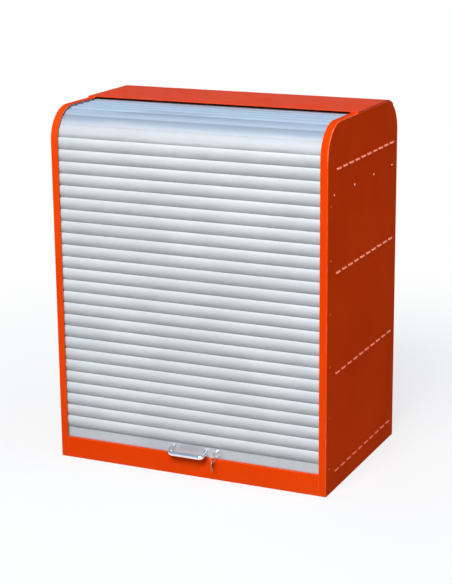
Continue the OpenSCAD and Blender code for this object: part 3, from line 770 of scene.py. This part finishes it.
slats = {
    "pitch": 37.0,
    "frontCount": 24,
    "headCount": 10,
    "firstZ": 99.0,
    "hingeInset": 12.5,
    "halfLength": 443.5,
    "crown": 4.5,
    "skin": 1.4,
    "drop": 2.0,
    "edgeGap": 0.6,
    "crownPoints": 33,
    "underside": (34.2, 1.4),  # from the hook to the bead
    "undersidePoints": 25,
    "bead": 1.8,
    "beadArc": (39.0, -289.5),
    "beadSteps": 20,
    "hookIn": 2.1,
    "hookOut": 3.3,
    "hookArc": (106.6, 330.0, 147.3),  # where it starts, its tip, and where its back ends
    "hookSteps": 16,
    # painted shade on each slat: how far up from the lower edge it reaches, in pitches, and how it fades
    "paintedShadeReach": 0.95,
    "paintedShadeFade": 1.2,
    "shadeAngle": 30.0,
    "stack": 9.5,  # stays below the bead of the first head slat
}


def slatOutline():  # one closed line: crown, hook, underside, bead
    pitch, crown, gap = slats["pitch"], slats["crown"], slats["edgeGap"]
    radius = ((pitch / 2) ** 2 + crown ** 2) / (2 * crown)
    middle = slats["drop"] + crown - radius

    def crownAt(height, reach):
        return height, middle + math.sqrt(reach * reach - (height - pitch / 2) ** 2)

    start, tip, back = slats["hookArc"]
    under = spread(*slats["underside"], slats["undersidePoints"])[1:-1]
    line = [crownAt(height, radius) for height in spread(gap, pitch - gap, slats["crownPoints"])]
    line += arc(pitch, 0, slats["hookIn"], start, tip, slats["hookSteps"])
    line += arc(pitch, 0, slats["hookOut"], tip, back, slats["hookSteps"])
    line += [crownAt(height, radius - slats["skin"]) for height in under]
    return line + arc(0, 0, slats["bead"], *slats["beadArc"], slats["beadSteps"])


def slatMesh():  # unit length along X, hinge at the origin, crown towards the front
    line = slatOutline()
    points = [(x, -out * mm, height * mm) for x in (-0.5, 0.5) for height, out in line]
    mesh = meshFrom("slatUnit", points, ringFaces(2, len(line)), slats["shadeAngle"])
    joint = mesh.attributes.new("joint", "FLOAT", "POINT")  # one at the lower edge, none at the upper edge; it places the painted shade and the paler painted reflection
    for vertex in mesh.vertices:
        share = 1 - vertex.co.z / mm / (slats["paintedShadeReach"] * slats["pitch"])
        joint.data[vertex.index].value = min(max(share, 0.0), 1.0) ** slats["paintedShadeFade"]
    return mesh


def hingePath(along):  # depth and height at a distance along the hinges' path
    front, archZ, inset = cabinet["archRadius"], cabinet["archZ"], slats["hingeInset"]
    run, reach = archZ - slats["firstZ"], front - inset
    quarter = reach * math.pi / 2
    if along <= run:
        return Vector((inset, slats["firstZ"] + along))
    if along <= run + quarter:
        turn = (along - run) / reach
        return Vector((front - reach * math.cos(turn), archZ + reach * math.sin(turn)))
    return Vector((front + along - run - quarter, cabinet["sideTop"] - inset))


def headPlaces():
    places = []
    along = slats["frontCount"] * slats["pitch"]
    for slat in range(slats["headCount"]):
        step = slats["pitch"]
        for correction in range(8):  # until the chord is one pitch long
            step += slats["pitch"] - (hingePath(along + step) - hingePath(along)).length
        low, high = hingePath(along), hingePath(along + step)
        lean = math.atan2(high.y - low.y, high.x - low.x) - math.pi / 2
        places.append((spot(0, low.x, low.y), (lean, 0, 0)))
        along += step
    return places


stretch = (2 * slats["halfLength"] * mm, 1, 1)
frontPlaces = [(spot(0, slats["hingeInset"], slats["firstZ"] + slat * slats["pitch"]), (0, 0, 0))
               for slat in range(slats["frontCount"])]
frontSlats = repeated("frontSlats", slatMesh(), frontPlaces, slatSilver, slats["shadeAngle"], stretch)
finished(frontSlats, "shutter", "slat_aluminium", None,
         *["slat_%02d" % (slat + 1) for slat in range(slats["frontCount"])])
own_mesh(frontSlats)
headSlats = repeated("headSlats", slatMesh(), headPlaces(), slatSilver, slats["shadeAngle"], stretch)
finished(headSlats, "carcass", "slat_aluminium", None, "head_slats")
print("slats", slats["frontCount"] + slats["headCount"])


# Rivets and screws

fixings = {  # profiles in shares of the head's radius and height
    "rivetHead": 3.5,
    "rivetHeight": 1.2,
    "rivetSides": 24,
    "rivetSocket": (),
    "rivetProfile": [(1, 0), (1, 0.25), (0.93, 0.55), (0.75, 0.85), (0.5, 1),
                     (0.38, 1), (0.32, 0.8), (0.3, 0.45), (0.05, 0.4)],
    "trackInset": 26.0,
    "trackRow": (79.5, 875.0, 6),  # rows from first to last, with their count
    "stiffenerZ": 905.0,
    "stiffenerRow": (50.0, 550.0, 4),
    "screwX": 438.0,
    "screwRow": (66.0, 941.0, 6),
    "screwHead": 4.0,
    "screwHeight": 2.2,
    "screwSides": 36,
    "screwProfile": [(1, 0), (1, 0.45), (0.95, 0.7), (0.82, 0.92), (0.66, 1),
                     (0.42, 1), (0.40, 0.94), (0.40, 0.35), (0.05, 0.3)],
    "screwSocket": (6, 7),  # points of the profile that are six-sided
    "shadeAngle": 40.0,
}


def headMesh(kind, rubbedAndLit):  # a rivet's dome with the mandrel's pit, or a screw's pan head
    radius, height = fixings[kind + "Head"], fixings[kind + "Height"]
    profile = [(across * radius, up * height) for across, up in fixings[kind + "Profile"]]
    mesh = lathe(kind + "Unit", profile, fixings[kind + "Sides"], False, fixings[kind + "Socket"])
    markWearAndHighlight(mesh, rubbedAndLit)
    return mesh


outward = {-1: (0, -math.pi / 2, 0), 1: (0, math.pi / 2, 0)}
backward = (-math.pi / 2, 0, 0)
trackPlaces = [(spot(sign * cabinet["halfWidth"], fixings["trackInset"], z), outward[sign])
               for sign in sides for z in spread(*fixings["trackRow"])]
stiffenerPlaces = [(spot(sign * cabinet["halfWidth"], depth, fixings["stiffenerZ"]), outward[sign])
                   for sign in sides for depth in spread(*fixings["stiffenerRow"])]
screwPlaces = [(spot(sign * fixings["screwX"], cabinet["depth"], z), backward)
               for sign in sides for z in spread(*fixings["screwRow"])]
for name, unit, places, finish, node in (
        # track rivet heads are marked all over, so the side paint gives them its painted highlight
        ("trackRivetHeads", headMesh("rivet", anyFace), trackPlaces, sidePaint, "track_rivets"),
        ("stiffenerRivetHeads", headMesh("rivet", anyFace), stiffenerPlaces, rivetAlloy, "stiffener_rivets"),
        ("rearScrewHeads", headMesh("screw", slopedRim), screwPlaces, zincSteel, "rear_screws")):
    heads = repeated(name, unit, places, finish, fixings["shadeAngle"])
    finished(heads, "carcass", "zinc_steel", None, node)
print("fixings", len(trackPlaces) + len(stiffenerPlaces) + len(screwPlaces))


# Handle

handle = {
    "span": 114.0,
    "bar": 14.0,
    "barSides": 24,
    "reach": 32.0,
    "tilt": 20.0,
    "bend": 13.0,
    "bendSteps": 12,
    "barSteps": 6,
    "gripFrom": 7,  # point of the path where the rubbed grip begins
    "z": 86.0,
    "face": 6.0,
    "foot": 9.0,
    "footHeight": 2.5,
    "footRim": [(0.0, -0.8), (-0.3, -0.2), (-0.9, 0.0)],
    "footBore": 1.0,
    "footSides": 40,
    "shadeAngle": 40.0,
}


def handlePath():  # from the left foot out, along the bar and back to the right foot
    tilt = math.radians(handle["tilt"])
    out = Vector((0, -math.cos(tilt), -math.sin(tilt)))
    half, bend = handle["span"] / 2, handle["bend"]
    post = handle["reach"] / math.cos(tilt) - bend
    left = [(-half, 0.0), (-half, post / 2)] + arc(bend - half, post, bend, 180, 90, handle["bendSteps"])
    bar = [(x, post + bend) for x in spread(bend - half, half - bend, handle["barSteps"] + 1)[1:-1]]
    right = [(-x, away) for x, away in reversed(left)]
    base = spot(0, handle["face"], handle["z"])
    return [base + (Vector((x, 0, 0)) + out * away) * mm for x, away in left + bar + right]


def makeHandle():
    tilt = math.radians(handle["tilt"])
    up = Vector((0, -math.sin(tilt), math.cos(tilt)))
    path = handlePath()
    parts = [sweep("handleBar", path, handle["bar"] / 2 * mm, up, handle["barSides"])]
    radius, height, bore = handle["foot"], handle["footHeight"], handle["footBore"]
    profile = [(radius, 0.0)] + stepped(radius, height, handle["footRim"]) + [(bore, height), (bore, 0.0)]
    for sign in sides:
        foot = lathe("handleFoot", profile, handle["footSides"])
        foot.transform(turnedAt(sign * handle["span"] / 2, handle["face"], handle["z"]))
        parts.append(foot)
    mesh = joinedMesh("bowHandle", parts)
    shadeByAngle(mesh, handle["shadeAngle"])
    grip = path[handle["gripFrom"]].y
    markWearAndHighlight(mesh, lambda face: face.center.y < grip)
    return linked("bowHandle", mesh)


finished(makeHandle(), "shutter", "handle_metal", handleNickel, "handle")
print("handle")


# Lock and keys

lock = {
    "x": 90.0,
    "z": 83.5,
    "bezel": 13.0,
    "bezelRim": [(0.0, -1.6), (-0.3, -0.7), (-1.1, 0.0), (-2.6, 0.0), (-3.0, -0.4)],
    "barrel": 9.5,
    "bore": 7.05,
    "boreRim": [(1.2, -0.4), (0.8, -0.1), (0.2, -0.1), (0.0, -0.4)],
    "front": 1.0,
    "rail": 6.0,
    "end": 22.0,
    "sides": 56,
}
keys = {
    "bow": 11.0,
    "bowPoints": 49,
    "lobes": 3,
    "lobeDepth": 0.045,
    "thick": 2.0,
    "edge": 0.25,
    "blade": 7.0,
    "shoulder": 3.5,
    "shoulderStep": (0.5, 0.2),
    "length": 24.0,
    "spareLength": 14.0,
    "point": 2.0,
    "pointFlat": (2.4, 4.0),
    "teeth": [(0.0, 0.0), (0.12, 1.6), (0.22, 0.5), (0.34, 2.0),
              (0.46, 0.8), (0.58, 2.3), (0.7, 1.0), (0.82, 1.7)],  # share of the blade, depth of the cut
    "hole": 3.0,
    "holeOff": 6.0,
    "holeSteps": 28,
    "bowDepth": -16.0,
    "ringDepth": -22.0,
    "ringZ": 73.55,
    "ring": 8.0,
    "ringSteps": 96,
    "wire": 0.45,
    "wireSides": 10,
    "spareZ": 57.6,
}


def makeLockHousing():
    bezel, barrel, bore = lock["bezel"], lock["barrel"], lock["bore"]
    depth, tail = lock["rail"] - lock["front"], lock["rail"] - lock["end"]
    profile = [(barrel, tail), (barrel, 0.0), (bezel, 0.0)]
    profile += stepped(bezel, depth, lock["bezelRim"]) + stepped(bore, depth, lock["boreRim"])
    mesh = lathe("lockHousing", profile + [(bore, tail)], lock["sides"])
    markWearAndHighlight(mesh, slopedRim)
    mesh.transform(turnedAt(lock["x"], lock["rail"], lock["z"]))
    return linked("lockHousing", mesh)


def keyLoops(length):  # the outline and the hole, with the bow at the origin and the blade along +Y
    edge = keys["edge"]
    bow, half = keys["bow"] - edge, keys["blade"] / 2 - edge
    shoulder, tip = keys["bow"] + keys["shoulder"], keys["bow"] + length - edge
    start = math.asin(half / bow)
    rim = []
    for turn in spread(math.pi / 2 + start, 2.5 * math.pi - start, keys["bowPoints"]):
        lobe = (1 + math.cos(keys["lobes"] * (turn + math.pi / 2))) / 2
        reach = bow * (1 - keys["lobeDepth"] * lobe)
        rim.append((reach * math.cos(turn), reach * math.sin(turn)))
    stepIn, stepUp = keys["shoulderStep"]
    foot = tip - keys["point"]
    blade = [(half, shoulder), (half - stepIn, shoulder + stepUp), (half - stepIn, foot)]
    blade += [(half - across, tip) for across in keys["pointFlat"]]
    blade += [(cut - half, shoulder + (foot - shoulder) * share) for share, cut in reversed(keys["teeth"])]
    blade.append((-half, shoulder))
    return rim + blade, arc(0, -keys["holeOff"], keys["hole"], 0, 360, keys["holeSteps"])[:-1]


def keyMesh(name, length):  # a flat curve with rounded edges
    curve = bpy.data.curves.new(name, "CURVE")
    curve.dimensions = "2D"
    curve.fill_mode = "BOTH"
    curve.bevel_depth = keys["edge"] * mm
    curve.bevel_resolution = 1
    curve.extrude = (keys["thick"] / 2 - keys["edge"]) * mm
    for loop in keyLoops(length):
        spline = curve.splines.new("POLY")
        spline.points.add(len(loop) - 1)
        for point, (x, y) in zip(spline.points, loop):
            point.co = (x * mm, y * mm, 0, 1)
        spline.use_cyclic_u = True
    drawn = linked(name, curve)
    mesh = cleaned(evaluatedMesh(drawn), 1e-6, 30)
    bpy.data.objects.remove(drawn)
    markWearAndHighlight(mesh, lambda face: abs(face.normal.z) < 0.9)  # rim and teeth
    return mesh


def keyAt(name, depth, z, length, hanging):
    mesh = keyMesh(name, length)
    stand = Matrix(((0, 0, 1, 0), (1, 0, 0, 0), (0, 1, 0, 0), (0, 0, 0, 1)))  # drawn X to Y, drawn Y to Z
    lay = Matrix.Rotation(math.pi if hanging else -math.pi / 2, 4, "X")
    mesh.transform(Matrix.Translation(spot(lock["x"], depth, z)) @ lay @ stand)
    return linked(name, mesh)


def splitRing():  # two close turns of thin wire
    path, steps = [], keys["ringSteps"]
    for i in range(steps + 1):
        turn = 4 * math.pi * i / steps
        lift = keys["wire"] * (-1 + 2 * i / steps)
        path.append(Vector((keys["ring"] * math.cos(turn), lift, keys["ring"] * math.sin(turn))) * mm)
    mesh = sweep("keyRing", path, keys["wire"] * mm, Vector((0, 1, 0)), keys["wireSides"])
    markWearAndHighlight(mesh, anyFace)
    mesh.transform(Matrix.Translation(spot(lock["x"], keys["ringDepth"], keys["ringZ"])))
    return linked("keyRing", mesh)


lockKey = keyAt("lockKey", keys["bowDepth"], lock["z"], keys["length"], False)
spareKey = keyAt("spareKey", keys["ringDepth"], keys["spareZ"], keys["spareLength"], True)
finished(makeLockHousing(), "shutter", "lock_chrome", lockChrome, "lock_housing")
finished(lockKey, "lock", "key_nickel", keyNickel, "key")
finished(spareKey, "hanging_keys", "key_nickel", darkKeyMetal, "spare_key")
finished(splitRing(), "hanging_keys", "key_nickel", keyNickel, "key_ring")
print("lock and keys")


# Floor, light and camera

white = (1, 1, 1, 1)
studio = {
    "floorSize": 60.0,
    "floorDrop": 0.0005,
    "floorColour": (0.86, 0.86, 0.86, 1),
    "bounceColour": (0.16, 0.16, 0.16, 1),
    "shadowShare": 0.28,
    "shadowFade": (0.7, 2.6),
    "skyTop": (0.42, 0.70, 1.0, 1),
    "skySide": white,
    "skyFade": (0.1, 0.9),
    "skyStrength": 0.35,
    "mirrorTop": (0.26, 0.42, 0.62, 1),
    "mirrorFade": (0.03, 0.2),
    "aim": (0, 0, 0.5),
    "lamps": {  # place, size and power
        "keyLamp": ((0.7, -6.0, 5.6), 3.6, 675.0),
        "sideLamp": ((5.0, 0.6, 2.2), 2.5, 27.0),
        "rearLamp": ((-2.6, 5.6, 0.55), 0.9, 150.0),  # below the cover's top, which would mirror it
    },
}


def seenRay(tree):  # camera, mirror and glass rays
    path = put(tree, "ShaderNodeLightPath").outputs
    seen = combined(tree, "MAXIMUM", path["Is Camera Ray"], path["Is Glossy Ray"])
    return combined(tree, "MAXIMUM", seen, path["Is Transmission Ray"])


def makeFloor():
    half, drop = studio["floorSize"] / 2, studio["floorDrop"]
    corners = [(x * half, y * half, -drop) for x, y in ((-1, -1), (1, -1), (1, 1), (-1, 1))]
    floor = linked("studioFloor", meshFrom("studioFloor", corners, [(0, 1, 2, 3)]))
    material = bpy.data.materials.new("studioFloor")
    tree = emptyTree(material)
    place = put(tree, "ShaderNodeTexCoord").outputs["Object"]
    away = put(tree, "ShaderNodeVectorMath", {0: place}, operation="LENGTH").outputs["Value"]
    fade = ramp(tree, away, *studio["shadowFade"], 1 - studio["shadowShare"], 1.0)
    bounce = put(tree, "ShaderNodeLightPath").outputs["Is Diffuse Ray"]
    colour = mixed(tree, bounce, studio["floorColour"], studio["bounceColour"])
    matt = put(tree, "ShaderNodeBsdfDiffuse", {"Color": colour})
    glow = put(tree, "ShaderNodeEmission", {"Color": white, "Strength": 1.0})
    share = times(tree, seenRay(tree), fade)
    blend = put(tree, "ShaderNodeMixShader", {0: share, 1: matt.outputs[0], 2: glow.outputs[0]})
    put(tree, "ShaderNodeOutputMaterial", {"Surface": blend.outputs[0]})
    floor.data.materials.append(material)


def makeSky():
    world = bpy.data.worlds.new("studioSky")
    scene.world = world
    tree = emptyTree(world)
    up = heightOf(tree, put(tree, "ShaderNodeTexCoord").outputs["Generated"])
    colour = mixed(tree, ramp(tree, up, *studio["skyFade"]), studio["skySide"], studio["skyTop"])
    fill = put(tree, "ShaderNodeBackground", {"Color": colour, "Strength": studio["skyStrength"]})
    mirrored = mixed(tree, ramp(tree, up, *studio["mirrorFade"]), white, studio["mirrorTop"])
    mirror = put(tree, "ShaderNodeBackground", {"Color": mirrored, "Strength": 1.0})
    blend = put(tree, "ShaderNodeMixShader", {0: seenRay(tree), 1: fill.outputs[0], 2: mirror.outputs[0]})
    put(tree, "ShaderNodeOutputWorld", {"Surface": blend.outputs[0]})


def softLamp(name, place, size, power):
    lamp = bpy.data.lights.new(name, "AREA")
    lamp.shape = "SQUARE"
    lamp.size = size
    lamp.energy = power
    holder = linked(name, lamp)
    holder.location = place
    holder.rotation_euler = (Vector(studio["aim"]) - Vector(place)).to_track_quat("-Z", "Y").to_euler()


makeFloor()
makeSky()
for name, (place, size, power) in studio["lamps"].items():
    softLamp(name, place, size, power)

view = {
    "place": (2.1019, -4.5809, 1.8710),
    "yaw": -24.730,
    "pitch": 15.111,
    "roll": -0.553,
    "lens": 101.98,
    "sensor": 36.0,
}


def makeCamera():
    yaw, pitch, roll = (math.radians(view[key]) for key in ("yaw", "pitch", "roll"))
    ahead = Vector((math.sin(yaw) * math.cos(pitch), math.cos(yaw) * math.cos(pitch), -math.sin(pitch)))
    level = Vector((math.cos(yaw), -math.sin(yaw), 0))
    upright = level.cross(ahead)
    right = math.cos(roll) * level + math.sin(roll) * upright
    up = math.cos(roll) * upright - math.sin(roll) * level
    camera = linked("photoCamera", bpy.data.cameras.new("photoCamera"))
    camera.data.lens = view["lens"]
    camera.data.sensor_width = view["sensor"]
    turned = Matrix((right, up, -ahead)).transposed().to_4x4()
    camera.matrix_world = Matrix.Translation(view["place"]) @ turned
    scene.camera = camera


makeCamera()
scene.view_settings.view_transform = "Standard"
print("studio ready")
